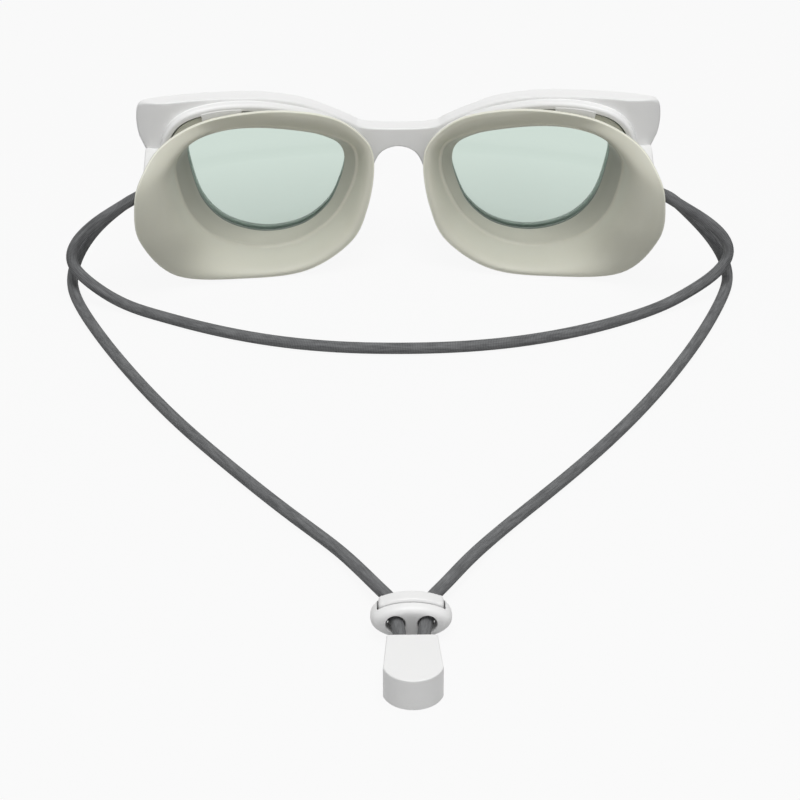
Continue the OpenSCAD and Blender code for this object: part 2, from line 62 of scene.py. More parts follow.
# A wire is one output of a node, so finishes can be written as sums
class Wire:
    def __init__(self, finish, socket):
        self.finish, self.socket = finish, socket

    def maths(self, operation, *values):
        return self.finish.node("Math", {"operation": operation}, values)

    def beside(self, name):
        return Wire(self.finish, self.socket.node.outputs[name])

    def __add__(self, other):
        return self.maths("ADD", self, other)

    __radd__ = __add__

    def __sub__(self, other):
        return self.maths("SUBTRACT", self, other)

    def __rsub__(self, other):
        return self.maths("SUBTRACT", other, self)

    def __mul__(self, other):
        return self.maths("MULTIPLY", self, other)

    __rmul__ = __mul__


class Finish:
    def __init__(self, owner):
        owner.use_nodes = True
        self.owner, self.tree = owner, owner.node_tree
        self.tree.nodes.clear()

    def node(self, kind, settings, sockets, out=0):
        made = self.tree.nodes.new("ShaderNode" + kind)
        for key, value in settings.items():
            setattr(made, key, value)
        for key, value in sockets.items() if isinstance(sockets, dict) else enumerate(sockets):
            if isinstance(value, Wire):
                self.tree.links.new(value.socket, made.inputs[key])
            else:
                made.inputs[key].default_value = value
        return Wire(self, made.outputs[out]) if made.outputs else None

    def noise(self, vector, scale, detail=3.0, rough=0.5, **more):
        return self.node("TexNoise", {}, {"Vector": vector, "Scale": scale, "Detail": detail,
                                          "Roughness": rough, **more})

    def blendColours(self, factor, a, b):
        a, b = (c if isinstance(c, Wire) else (*c, 1) for c in (a, b))
        return self.node("Mix", {"data_type": "RGBA"}, {0: factor, 6: a, 7: b}, out=2)

    def surface(self, height=None, relief=0.00001, strength=1.0, **sockets):
        if height is not None:
            sockets["Normal"] = self.node("Bump", {}, {"Height": height, "Distance": relief, "Strength": strength})
        shader = self.node("BsdfPrincipled", {}, {k.replace("_", " "): v for k, v in sockets.items()})
        self.node("OutputMaterial", {}, {"Surface": shader})
        return self.owner


def shade(colour, factor):
    return tuple(c * factor for c in colour)


def mouldedPlastic(name, colour, roughness=0.36, mottle=0.02, relief=0.000012):
    f = Finish(bpy.data.materials.new(name))
    place = f.node("TexCoord", {}, {}).beside("Object")
    broad = f.noise(place, 70, 2)
    grain = f.noise(place, 2600, 4, 0.6)
    flow = f.noise(place, 420, 3, 0.55)
    base = f.blendColours(broad * 0.7 + flow * 0.3, shade(colour, 1 - mottle), shade(colour, 1 + mottle))
    return f.surface(height=grain * 0.6 + flow * 0.4, relief=relief, strength=0.6, Base_Color=base,
                     Roughness=roughness + (grain - 0.5) * 0.16 + (broad - 0.5) * 0.08, IOR=1.46)


# A mesh attribute carries painted light: positive deep in the throat, where it paints shade, and negative on the
# thin edge of the rim, where it paints a highlight
def siliconeRubber(name, colour, roughness=0.46, paintedShadeTone=0.4, paintedHighlightTone=1.4):
    f = Finish(bpy.data.materials.new(name))
    place = f.node("TexCoord", {}, {}).beside("Object")
    broad = f.noise(place, 45, 3)
    cloud = f.noise(place, 260, 4, 0.6)
    grain = f.noise(place, 3400, 3, 0.6)
    paintedLight = f.node("Attribute", {"attribute_name": "paintedLight"}, {}, out=2)
    base = f.blendColours(broad * 0.6 + cloud * 0.4, shade(colour, 0.965), shade(colour, 1.035))
    # painted shade: darker in the mouth, lining and fold of the throat
    base = f.blendColours(paintedLight * 0.55, base, shade(colour, paintedShadeTone))
    # painted highlight: lighter on the thin edge of the rim
    base = f.blendColours(paintedLight * -0.8, base, shade(colour, paintedHighlightTone))
    return f.surface(height=grain * 0.7 + cloud * 0.3, relief=0.00001, strength=0.5, Base_Color=base,
                     Roughness=roughness + (grain - 0.5) * 0.12 + (cloud - 0.5) * 0.1,
                     Subsurface_Weight=0.25, Subsurface_Radius=(0.003, 0.0028, 0.0024),
                     Subsurface_Scale=1.0, IOR=1.41)


# The lens colour is a little darker towards its foot
def tintedLens(name, colour, lowTone=0.68, perMetre=28):
    f = Finish(bpy.data.materials.new(name))
    place = f.node("TexCoord", {}, {}).beside("Object")
    film = f.noise(place, 38, 2)
    height = f.node("SeparateXYZ", {}, [place]).beside("Z")
    base = f.blendColours(0.12 + height * perMetre + film * 0.1, shade(colour, lowTone), colour)
    smear = f.noise(place, 130, 3, 0.6)
    return f.surface(Base_Color=base, Roughness=0.02 + smear * 0.02, Transmission_Weight=1.0, IOR=1.3)


def braidedCover(name, dark, light, yarns=15, slant=1.6, pitch=0.46, cover=10.05):
    f = Finish(bpy.data.materials.new(name))
    unwrapped = f.node("UVMap", {"uv_map": "cordMap"}, {})
    around = f.node("SeparateXYZ", {}, [unwrapped])
    along = around.beside("Y")

    def wave(turns):
        return f.node("Math", {"operation": "SINE"}, [turns * (2 * math.pi)])

    ribs = wave(along * (cover / pitch) + around * 2)
    right = wave(around * yarns + along * yarns * slant)
    left = wave(around * yarns - along * yarns * slant)
    weave = right * left * 0.5 + 0.5
    worn = f.noise(unwrapped, 5, 4, 0.6)
    strands = f.noise(f.node("Mapping", {}, {"Vector": unwrapped, "Scale": (9, 0.9, 1)}), 1.6, 3, 0.65)
    fibre = f.noise(unwrapped, 60, 3, 0.6)
    height = (ribs * 0.5 + 0.5) * 0.28 + weave * 0.42 + fibre * 0.3
    # the base colour follows the relief, darker in the low places of the weave and ribs, which paints shade into
    # the braid; the streaks and worn patches are the cord's own tone
    tone = height * 0.8 + worn * 0.15 + strands * 0.9 - 0.45
    base = f.blendColours(tone, dark, light)
    return f.surface(height=height, relief=0.00006, strength=0.8, Base_Color=base,
                     Roughness=0.74 - height * 0.12 + (worn - 0.5) * 0.1, IOR=1.24)


def drawnMetal(name, colour):
    f = Finish(bpy.data.materials.new(name))
    place = f.node("TexCoord", {}, {}).beside("Object")
    lines = f.noise(place, 900, 2, 0.5, Distortion=0.4)
    spots = f.noise(place, 160, 4, 0.6)
    base = f.blendColours(spots, shade(colour, 0.9), shade(colour, 1.05))
    return f.surface(height=lines, relief=0.000008, Base_Color=base, Metallic=1.0,
                     Roughness=0.26 + lines * 0.1 + spots * 0.08)


shellWhite = mouldedPlastic("shellWhite", (0.84, 0.84, 0.835))
buttonWhite = mouldedPlastic("buttonWhite", (0.83, 0.83, 0.825), roughness=0.3)
carrierGrey = mouldedPlastic("carrierGrey", (0.17, 0.2, 0.175), roughness=0.34, mottle=0.05)
cupSilicone = siliconeRubber("cupSilicone", (0.6, 0.598, 0.514))
lensGreen = tintedLens("lensGreen", (0.62, 0.72, 0.66))
cordCover = braidedCover("cordCover", (0.015, 0.016, 0.017), (0.305, 0.31, 0.315))
springSteel = drawnMetal("springSteel", (0.62, 0.62, 0.63))
ferruleMetal = drawnMetal("ferruleMetal", (0.55, 0.55, 0.57))
print("finishes ready")


# Small tools for rings, skins and cuts
def curveAt(a, b, c, d, t):
    return 0.5 * (2 * b + (c - a) * t + (2 * a - 5 * b + 4 * c - d) * t * t + (3 * b - a - 3 * c + d) * t ** 3)


def smoothRing(points, steps):
    p = [Vector(q) for q in points]
    m = len(p)
    return [curveAt(p[i - 1], p[i], p[(i + 1) % m], p[(i + 2) % m], k / steps)
            for i in range(m) for k in range(steps)]


def smoothRoute(points, steps, lowest=-100.0):
    p = [Vector(q) for q in points]
    p = [2 * p[0] - p[1]] + p + [2 * p[-1] - p[-2]]
    line = [curveAt(p[i - 1], p[i], p[i + 1], p[i + 2], k / steps)
            for i in range(1, len(p) - 2) for k in range(steps)] + [p[-2]]
    return [Vector((q.x, q.y, max(q.z, lowest))) for q in line]


def relaxed(line, times, lowest=-100.0):
    for _ in range(times):
        line = [line[0], *[(a + 2 * b + c) / 4 for a, b, c in zip(line, line[1:], line[2:])], line[-1]]
    return [Vector((q.x, q.y, max(q.z, lowest))) for q in line]


def insetRing(points, amount):
    m = len(points)
    found = []
    for i in range(m):
        along = (points[(i + 1) % m] - points[i - 1]).normalized()
        found.append(points[i] + amount * Vector((-along.y, along.x)))
    return found


def quarter(radius, count=4):
    angles = [math.pi / 2 * k / count for k in range(count + 1)]
    return [(radius * (1 - math.sin(a)), radius * (1 - math.cos(a))) for a in angles]


def startRing(bm, points):
    verts = [bm.verts.new(p) for p in points]
    return verts, [bm.edges.new((verts[i - 1], verts[i])) for i in range(len(verts))]


def carryRing(bm, verts, edges, points):
    made = bmesh.ops.extrude_edge_only(bm, edges=edges)["geom"]
    fresh = {g.co.to_tuple(6): g for g in made if isinstance(g, bmesh.types.BMVert)}
    moved = [fresh[v.co.to_tuple(6)] for v in verts]
    for vert, point in zip(moved, points):
        vert.co = point
    return moved, [bm.edges.get((moved[i - 1], moved[i])) for i in range(len(moved))]


def skinRings(bm, rings, closed=False):
    verts, edges = startRing(bm, rings[0])
    first = edges
    for points in rings[1:]:
        verts, edges = carryRing(bm, verts, edges, points)
    if closed:
        carryRing(bm, verts, edges, rings[0])
        bmesh.ops.remove_doubles(bm, verts=bm.verts, dist=0.00001)
    return first, edges


def fillBetween(bm, edges):
    bmesh.ops.triangle_fill(bm, use_beauty=True, use_dissolve=False, edges=edges)


def skinWithEnds(bm, rings):
    for edges in skinRings(bm, rings):
        fillBetween(bm, edges)


def cornersOf(bm, bend=0.6):
    return [e for e in bm.edges if e.calc_face_angle(0) > bend]


def rounded(bm, edges, offset, segments):
    bmesh.ops.bevel(bm, geom=edges, offset=offset, offset_type="OFFSET", segments=segments, profile=0.5,
                    affect="EDGES", material=-1)


def prism(points, vec):
    bm = bmesh.new()
    face = bmesh.ops.contextual_create(bm, geom=[bm.verts.new(p) for p in points])["faces"]
    grown = bmesh.ops.extrude_face_region(bm, geom=face)["geom"]
    bmesh.ops.translate(bm, vec=vec, verts=[g for g in grown if isinstance(g, bmesh.types.BMVert)])
    bmesh.ops.recalc_face_normals(bm, faces=bm.faces)
    return bm


def poured(bm, part):
    spare = bpy.data.meshes.new("spare")
    part.to_mesh(spare)
    part.free()
    bm.from_mesh(spare)
    bpy.data.meshes.remove(spare)


def sliceAcross(bm, low, high, pitch=3):
    for k in range(int((high - low) / pitch)):
        everything = bm.verts[:] + bm.edges[:] + bm.faces[:]
        bmesh.ops.bisect_plane(bm, geom=everything, dist=0.0005, plane_co=(low + (k + 0.5) * pitch, 0, 0),
                               plane_no=(1, 0, 0))


def mirrored(bm):
    twin = bm.copy()
    bmesh.ops.scale(twin, vec=(-1, 1, 1), verts=twin.verts)
    bmesh.ops.reverse_faces(twin, faces=twin.faces)
    return twin


def meshOf(name, bm, recalc=True):
    if recalc:
        bmesh.ops.recalc_face_normals(bm, faces=bm.faces)
    bmesh.ops.scale(bm, vec=(mm, mm, mm), verts=bm.verts)
    mesh = bpy.data.meshes.new(name)
    bm.to_mesh(mesh)
    bm.free()
    return mesh


def linked(name, mesh):
    obj = bpy.data.objects.new(name, mesh)
    scene.collection.objects.link(obj)
    return obj


def baked(obj):
    bpy.context.view_layer.update()
    mesh = bpy.data.meshes.new_from_object(obj.evaluated_get(bpy.context.evaluated_depsgraph_get()))
    obj.modifiers.clear()
    obj.data = mesh


def combined(obj, others, operation="DIFFERENCE"):
    for other in others:
        step = obj.modifiers.new("combine", "BOOLEAN")
        step.operation, step.solver, step.object = operation, "EXACT", other
    baked(obj)
    for other in others:
        bpy.data.objects.remove(other)


def finishPiece(obj, material, body, replaced=(), sharp=38, weighted=True):
    obj.data.materials.clear()
    obj.data.materials.append(material)
    obj.data.shade_smooth()
    obj.data.set_sharp_from_angle(angle=math.radians(sharp))
    if weighted:
        normals = obj.modifiers.new("normals", "WEIGHTED_NORMAL")
        normals.mode, normals.keep_sharp = "FACE_AREA", True
    if body:
        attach(obj, body)
    if replaced:
        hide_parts(*replaced)
    return obj


def placePair(name, bm, material, sharp=38):
    for part, word in ((bm.copy(), "Right"), (mirrored(bm), "Left")):
        obj = linked(name + word, meshOf(name + word, part))
        finishPiece(obj, material, "front", [name + "_" + word.lower()], sharp=sharp)
    bm.free()


# Cords, with their routes in metres as the solids have them, smoothed a little more here
strap = dict(diameter=0.0032, facets=20, smooth=4, relax=9, lugX=0.0699, lugY=-0.0105, lugZ=0.031,
             lugThickness=0.003, tilt=45, bendRadius=0.0018, out=0.0012, upperDip=28, lowerDip=0,
             upperLead=0.003, lowerLead=0.0026, backLength=0.275, leftLength=0.235, rightLength=0.2355)
backRoute = [
    (-0.0805, -0.0142, 0.0276), (-0.0855, -0.0136, 0.0241), (-0.0895, -0.013, 0.0204), (-0.0925, -0.013, 0.0171),
    (-0.0943, -0.0133, 0.0135), (-0.0942, -0.0143, 0.0102), (-0.0915, -0.0164, 0.0077),
    (-0.0875, -0.0192, 0.0055), (-0.082, -0.0225, 0.0032), (-0.075, -0.0262, 0.0016), (-0.0665, -0.031, 0.0016),
    (-0.0565, -0.0368, 0.0016), (-0.043, -0.0429, 0.0016), (-0.029, -0.0472, 0.0016), (-0.0145, -0.0496, 0.0016),
    (0, -0.0502, 0.0016), (0.0145, -0.0498, 0.0016), (0.029, -0.0477, 0.0016), (0.043, -0.0437, 0.0016),
    (0.0565, -0.038, 0.0016), (0.067, -0.0318, 0.0016), (0.076, -0.0262, 0.002), (0.083, -0.0218, 0.0039),
    (0.0885, -0.0185, 0.0058), (0.0928, -0.0156, 0.0083), (0.095, -0.0138, 0.0116), (0.0942, -0.0134, 0.0153),
    (0.0918, -0.0135, 0.0188), (0.0882, -0.0138, 0.0221), (0.084, -0.0141, 0.0252), (0.08, -0.0144, 0.0278)]
leftRoute = [
    (-0.081, -0.0088, 0.0248), (-0.0862, -0.0085, 0.02), (-0.0903, -0.008, 0.0146), (-0.0936, -0.0077, 0.0085),
    (-0.095, -0.0096, 0.0036), (-0.0943, -0.0145, 0.0016), (-0.0915, -0.024, 0.0016), (-0.0865, -0.0368, 0.0016),
    (-0.08, -0.0515, 0.0016), (-0.0725, -0.0668, 0.0016), (-0.064, -0.0828, 0.0016), (-0.0552, -0.0975, 0.0016),
    (-0.046, -0.1115, 0.0016), (-0.0368, -0.1252, 0.0016), (-0.0275, -0.1384, 0.0016), (-0.0185, -0.1506, 0.0019),
    (-0.0134, -0.16, 0.0026), (-0.0094, -0.1686, 0.0036)]
rightRoute = [
    (0.0793, -0.0086, 0.0264), (0.084, -0.009, 0.0216), (0.088, -0.009, 0.0173), (0.0915, -0.0086, 0.0124),
    (0.0943, -0.0083, 0.0074), (0.0956, -0.0096, 0.003), (0.0946, -0.015, 0.0016), (0.0913, -0.0253, 0.0016),
    (0.0858, -0.0398, 0.0016), (0.079, -0.055, 0.0016), (0.0712, -0.0708, 0.0016), (0.0625, -0.0865, 0.0016),
    (0.0533, -0.1015, 0.0016), (0.0438, -0.1156, 0.0016), (0.0345, -0.1285, 0.0016), (0.0255, -0.1409, 0.0017),
    (0.0174, -0.1532, 0.0022), (0.0128, -0.162, 0.003), (0.0094, -0.169, 0.0036)]


def entryRoute(side):
    return [(side * 0.00685, -0.174, 0.0041), (side * 0.00525, -0.1772, 0.0045), (side * 0.00425, -0.18, 0.0047),
            (side * 0.00375, -0.1826, 0.0047), (side * 0.00375, -0.185, 0.0047)]


def tailRoute(side):
    return [(side * 0.00375, -0.185, 0.0047), (side * 0.00375, -0.186, 0.0047), (side * 0.00325, -0.1892, 0.0046),
            (side * 0.00285, -0.1928, 0.0043), (side * 0.0025, -0.1964, 0.004), (side * 0.0025, -0.1991, 0.004),
            (side * 0.0025, -0.2047, 0.004)]


def turnRoute(side, way, dip, run=None):
    tilt, angle = math.radians(strap["tilt"]), math.radians(dip)
    axis = Vector((0, -math.sin(tilt), math.cos(tilt)))
    out = Vector((side * math.cos(angle), -math.sin(angle) * math.sin(tilt), -math.sin(angle) * math.cos(tilt)))
    hole = Vector((side * strap["lugX"], strap["lugY"], strap["lugZ"]))
    half, r = strap["lugThickness"] / 2, strap["bendRadius"]
    if run is not None:
        return hole + axis * way * (half + r) + out * (r + run)
    sweep = [math.radians(a) for a in range(0, 91, 15)]
    return [hole + axis * way * (half + r * math.sin(w)) + out * r * (1 - math.cos(w)) for w in sweep]


def tubeMesh(name, route, diameter, facets, across=(0, 1, 0)):
    bm = bmesh.new()
    along = bm.verts.layers.float.new("along")
    around = bm.verts.layers.float.new("around")
    points = [p / mm for p in route]
    tangents = [(points[min(i + 1, len(points) - 1)] - points[max(i - 1, 0)]).normalized()
                for i in range(len(points))]
    side = Vector(across)
    frames = []
    for point, tangent in zip(points, tangents):
        side = (side - side.dot(tangent) * tangent).normalized()
        up = tangent.cross(side)
        frames.append(Matrix.Translation(point) @ Matrix((side, up, tangent)).transposed().to_4x4())
    radius = diameter / mm / 2
    made = bmesh.ops.create_circle(bm, cap_ends=False, segments=facets, radius=radius, matrix=frames[0])
    ring = made["verts"]
    for vert in ring:
        local = frames[0].inverted() @ vert.co
        vert[around] = (math.atan2(local.y, local.x) / (2 * math.pi)) % 1
    edges = bm.edges[:]
    first, walked = edges[:], 0.0
    for i in range(1, len(frames)):
        geom = bmesh.ops.extrude_edge_only(bm, edges=edges)["geom"]
        ring = [g for g in geom if isinstance(g, bmesh.types.BMVert)]
        fresh = set(ring)
        edges = [g for g in geom if isinstance(g, bmesh.types.BMEdge)
                 and g.verts[0] in fresh and g.verts[1] in fresh]
        bmesh.ops.transform(bm, matrix=frames[i] @ frames[i - 1].inverted(), verts=ring)
        walked += (points[i] - points[i - 1]).length
        for vert in ring:
            vert[along] = walked
    fillBetween(bm, first)
    fillBetween(bm, edges)
    bmesh.ops.recalc_face_normals(bm, faces=bm.faces)
    chart = bm.loops.layers.uv.new("cordMap")
    girth = 2 * math.pi * radius
    for face in bm.faces:
        turns = [loop.vert[around] for loop in face.loops]
        wraps = max(turns) - min(turns) > 0.5
        for loop, turn in zip(face.loops, turns):
            loop[chart].uv = (turn + 1 if wraps and turn < 0.5 else turn, loop.vert[along] / girth)
    return meshOf(name, bm, recalc=False)


def cordPiece(name, route, body, replaced, across=(0, 1, 0)):
    obj = linked(name, tubeMesh(name, route, strap["diameter"], strap["facets"], across))
    return finishPiece(obj, cordCover, body, replaced, weighted=False)


for side, word in ((-1, "Left"), (1, "Right")):
    upper = turnRoute(side, 1, strap["upperDip"])
    lower = turnRoute(side, -1, strap["lowerDip"])
    route = ([turnRoute(side, 1, strap["upperDip"], strap["out"])] + upper[::-1] + lower
             + [turnRoute(side, -1, strap["lowerDip"], strap["out"])])
    cordPiece("lugTurn" + word, route, "front", ["cord_turn_" + word.lower()], (0, 1, 1))

resting = strap["diameter"] / 2


def cordLine(points):
    return relaxed(smoothRoute(points, strap["smooth"], resting), strap["relax"], resting)


def leadFrom(side, way, dip, length):
    return [turnRoute(side, way, dip, strap["out"] + e) for e in (0, length)]


upperEnds = {side: leadFrom(side, 1, strap["upperDip"], strap["upperLead"]) for side in (-1, 1)}
backLine = cordLine([*upperEnds[-1], *backRoute, *upperEnds[1][::-1]])
cordBack = cordPiece("cordBack", backLine, "front", ["cord_back"])

for side, word, middle in ((-1, "Left", leftRoute), (1, "Right", rightRoute)):
    lead = leadFrom(side, -1, strap["lowerDip"], strap["lowerLead"])
    line = cordLine([*lead, *middle, *entryRoute(side)])
    strand = cordPiece("cord" + word, line, None, ["cord_" + word.lower()])
    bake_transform(strand)
    tail = cordPiece("cordTail" + word, smoothRoute(tailRoute(side), strap["smooth"]), None,
                     ["cord_tail_" + word.lower()], (0, 0, 1))
    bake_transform(tail)
print("cords laid")

# Outlines of the right eye seen from behind, from the temple over the brow to the nose
front = dict(thickness=5.8, wrapRadius=220, bow=18.1, lip=2.0, lipEdge=0.15, collarWall=2.2, collarHeight=2.4,
             frontEdge=0.8, rearEdge=0.55, footShare=0.6, footHeight=5, footReach=20, openingEdge=0.7,
             eyeSteps=8, outlineSteps=6, reach=76.5, slices=3, endSlices=1, endParts=((-75, -65), (65, 75)),
             slopeFrom=65, slope=(0.1156, 0.03),
             collarRim=[(2.2, 0.9), (2.13, 0.97), (1.95, 1), (1.15, 1), (0.85, 0.975), (0.6, 0.91), (0.38, 0.83),
                        (0.2, 0.73), (0.07, 0.6), (0, 0.45), (0, 0.1), (-0.05, 0.035), (-0.15, 0)])
pocketPoints = [
    (68.6, 33), (67.9, 42), (63, 47.8), (54, 50), (43, 49.7), (32, 47.6), (21.5, 44.2), (12.2, 38.2), (8.8, 30.5),
    (10, 21), (14.5, 11), (25.5, 2.6), (41, 0.7), (57, 6.4), (65.5, 18.5)]
throatPoints = [
    (63.3, 31.5), (63.1, 38.1), (58.5, 42.4), (50.5, 43.8), (41, 43.4), (31, 41.9), (21.4, 39.6), (14.2, 36.2),
    (12.6, 30), (14.6, 22.3), (19.6, 13.8), (29, 7.1), (41, 5.8), (53, 10.9), (60.2, 20.3)]
openingPoints = [
    (60.7, 32), (60.6, 37.8), (56.3, 41.2), (49, 42.3), (40.5, 41.6), (31.5, 39.9), (23, 37.5), (17.4, 34.4),
    (15.8, 29.8), (17, 23.3), (20.9, 14.9), (28.6, 8.9), (39.5, 7.5), (50.3, 11.6), (57.3, 19.9)]
rimPoints = [
    (74.9, -21, 31.6), (72.9, -18.6, 39), (67.7, -10.2, 44.7), (57.6, -1, 47.7), (44.2, 2.8, 49.3),
    (30.5, 4.8, 48.9), (17.5, 6.1, 45.6), (9, 6.3, 38.4), (7.1, 5, 31), (9, 2.6, 19.5), (13.9, 0.3, 9.5),
    (26.8, -2.8, 1.8), (44.5, -5.3, 0.5), (64.4, -10.6, 4.2), (73.8, -19.2, 19.2)]
frontPoints = [
    (0, 38.8), (10, 39.4), (14.6, 41.6), (20.2, 44.3), (28.5, 47.8), (39.5, 50.2), (51, 51.2), (62, 51.8),
    (70.6, 51.9), (73.5, 51.6), (74.9, 50.4), (75.4, 47.8), (75.4, 44.6), (74.9, 41.4), (73.8, 38.8),
    (71.9, 34.4), (70.5, 27.5), (68.4, 21), (65.2, 14.5), (58.5, 6.2), (51, 1.8), (44, 0), (36, 0), (24.5, 1.2),
    (14, 8.8), (8.8, 19.5), (7.2, 27), (4.6, 31.4), (0, 33)]
pocket = smoothRing(pocketPoints, front["eyeSteps"])
throat = smoothRing(throatPoints, front["eyeSteps"])
opening = smoothRing(openingPoints, front["eyeSteps"])
rim = smoothRing(rimPoints, front["eyeSteps"])


def inward(points):
    return [q - p for p, q in zip(points, insetRing(points, 1))]


pocketIn, openingIn = inward(pocket), inward(opening)


def wrapped(across, depth, height):
    r = front["wrapRadius"]
    return Vector((across, front["bow"] - r + math.sqrt((r + depth) ** 2 - across * across), height))


def wrapAll(bm):
    for vert in bm.verts:
        vert.co = wrapped(*vert.co)


def flatRing(points, amount, depth, flip=1):
    return [Vector((flip * p.x, depth, max(p.y, 0))) for p in insetRing(points, amount)]


def flipped(p):
    return Vector((-p.x, p.y))


def slopeAt(across):
    past = max(0, abs(across) - front["slopeFrom"])
    return front["slope"][0] * past + front["slope"][1] * past ** 2


# Front frame, drawn flat and then wrapped round the face; its back slopes away towards the ends
faceDepth = front["thickness"] / 2
half = [Vector(p) for p in frontPoints]
ghosts = [flipped(half[1]), *half, flipped(half[-2])]
rightHalf = [curveAt(*ghosts[i:i + 4], k / front["outlineSteps"])
             for i in range(len(half) - 1) for k in range(front["outlineSteps"])]
outline = rightHalf + [half[-1]] + [flipped(p) for p in rightHalf[:0:-1]]
outline.reverse()
bm = bmesh.new()
rings = [flatRing(outline, a, faceDepth - b) for a, b in quarter(front["frontEdge"], 5)]
# the rear edge is rounder at the brow than at the foot
share, foot, reach = front["footShare"], front["footHeight"], front["footReach"]
soft = [share + (1 - share) * min(1, max(0, p.y - foot) / reach) for p in outline]
for a, b in reversed(quarter(front["rearEdge"], 3)):
    rings.append([Vector((p.x + a * k * n.x, b * k - faceDepth, max(p.y + a * k * n.y, 0)))
                  for p, n, k in zip(outline, inward(outline), soft)])
outerFront, outerRear = skinRings(bm, rings)
frontEdges, rearEdges = outerFront[:], outerRear[:]
lipDepth, lipEdge = faceDepth - front["lip"], front["lipEdge"]
for flip in (1, -1):
    rings = [flatRing(opening, -a, faceDepth - b, flip) for a, b in quarter(front["openingEdge"], 4)]
    rings += [flatRing(opening, 0, lipDepth + lipEdge, flip), flatRing(opening, -lipEdge, lipDepth, flip),
              flatRing(pocket, front["collarWall"] + 0.05, lipDepth, flip)]
    rings += [flatRing(pocket, a, -faceDepth - b * front["collarHeight"], flip) for a, b in front["collarRim"]]
    inner, collar = skinRings(bm, rings)
    frontEdges += inner
    rearEdges += collar
fillBetween(bm, frontEdges)
fillBetween(bm, rearEdges)
sliceAcross(bm, -front["reach"], front["reach"], front["slices"])
for low, high in front["endParts"]:
    sliceAcross(bm, low, high, front["endSlices"])
for vert in bm.verts:
    if abs(vert.co.y + faceDepth) < front["rearEdge"] + 0.01:
        vert.co.y += slopeAt(vert.co.x)
wrapAll(bm)

snap = dict(middle=51, width=12, steps=12, section=[(1.6, -4.65), (1.6, -5.5), (3.8, -5.5), (3.8, -4.65)],
            bevel=0.15, above=40)


def browAt(across):
    for i, (p, q) in enumerate(zip(pocket, pocket[1:])):
        if p.y > snap["above"] and p.x >= across >= q.x:
            share = (p.x - across) / (p.x - q.x)
            return p.lerp(q, share), pocketIn[i].lerp(pocketIn[i + 1], share)


for flip in (1, -1):
    tab = bmesh.new()
    rings = []
    for k in range(snap["steps"] + 1):
        p, n = browAt(snap["middle"] + snap["width"] * (0.5 - k / snap["steps"]))
        rings.append([wrapped(flip * (p + a * n).x, d, (p + a * n).y) for a, d in snap["section"]])
    for edges in skinRings(tab, rings):
        bmesh.ops.contextual_create(tab, geom=edges)
    bmesh.ops.recalc_face_normals(tab, faces=tab.faces)
    rounded(tab, cornersOf(tab), snap["bevel"], 2)
    poured(bm, tab)

arm = dict(x=69.9, width=6.4, root=37.6, top=34.7, low=31.4, rootY=3, innerY=6, lugY=-10.5, lugZ=31, lugWidth=7,
           lugThickness=3, tilt=45, hole=3.8, holeEdge=0.4, boreReach=4, bevel=0.5)
axis = Vector((0, -math.sin(math.radians(arm["tilt"])), math.cos(math.radians(arm["tilt"]))))
run = Vector((0, axis.z, -axis.y))
lug = Vector((0, arm["lugY"], arm["lugZ"]))


def lugPoint(way, height=None):
    p = lug + axis * way * arm["lugThickness"] / 2
    return p if height is None else p + run * (height - p.z) / run.z


rootLow = arm["low"] + arm["root"] - arm["top"]
profile = [Vector((0, arm["innerY"], arm["root"])), Vector((0, arm["rootY"], arm["root"])),
           lugPoint(1, arm["top"]), lugPoint(1), lugPoint(-1), lugPoint(-1, arm["low"]),
           Vector((0, arm["rootY"], rootLow)), Vector((0, arm["innerY"], rootLow))]
sideways = Vector((arm["x"] - arm["width"] / 2, 0, 0))
armBm = prism([p + sideways for p in profile], (arm["width"], 0, 0))
rounded(armBm, armBm.edges[:], arm["bevel"], 3)
armObj = linked("arm", meshOf("arm", armBm))
lugPlace = Matrix.Translation(Vector((arm["x"], 0, 0)) + lug) @ Matrix.Rotation(math.radians(arm["tilt"]), 4, "X")


def turnedShape(name, outline, place, segments=64):
    bm = bmesh.new()
    verts = [bm.verts.new((r, 0, z)) for r, z in outline]
    edges = [bm.edges.new(pair) for pair in zip(verts, verts[1:])]
    bmesh.ops.spin(bm, geom=verts + edges, cent=(0, 0, 0), axis=(0, 0, 1), dvec=(0, 0, 0),
                   angle=2 * math.pi, steps=segments, use_merge=True)
    bmesh.ops.remove_doubles(bm, verts=bm.verts, dist=0.0001)
    bmesh.ops.recalc_face_normals(bm, faces=bm.faces)
    bmesh.ops.transform(bm, matrix=place, verts=bm.verts)
    return linked(name, meshOf(name, bm))


# half the outline of a hole with rounded mouths, reaching past both of its ends
def boreOutline(radius, half, edge, reach, steps):
    near = [(radius + a, -half + b) for a, b in quarter(edge, steps)]
    far = [(radius + a, half - b) for a, b in reversed(quarter(edge, steps))]
    return [(0, -reach), (radius + edge, -reach), *near, *far, (radius + edge, reach), (0, reach)]


r, t, e = arm["lugWidth"] / 2, arm["lugThickness"] / 2, arm["bevel"]
disc = turnedShape("lugDisc", [(0, -t), *[(r - a, -t + b) for a, b in quarter(e, 3)],
                               *[(r - a, t - b) for a, b in reversed(quarter(e, 3))], (0, t)], lugPlace)
combined(armObj, [disc], "UNION")
bore = boreOutline(arm["hole"] / 2, t, arm["holeEdge"], arm["boreReach"], 3)
combined(armObj, [turnedShape("lugBore", bore, lugPlace)])
bmesh.ops.scale(bm, vec=(mm, mm, mm), verts=bm.verts)
bmesh.ops.recalc_face_normals(bm, faces=bm.faces)
armBm = bmesh.new()
armBm.from_mesh(armObj.data)
for part in (armBm, mirrored(armBm)):
    poured(bm, part)
bpy.data.objects.remove(armObj)
mesh = bpy.data.meshes.new("frontFrame")
bm.to_mesh(mesh)
bm.free()
finishPiece(linked("frontFrame", mesh), shellWhite, "front", ["front_frame"])
print("front frame made:", len(mesh.polygons), "faces")

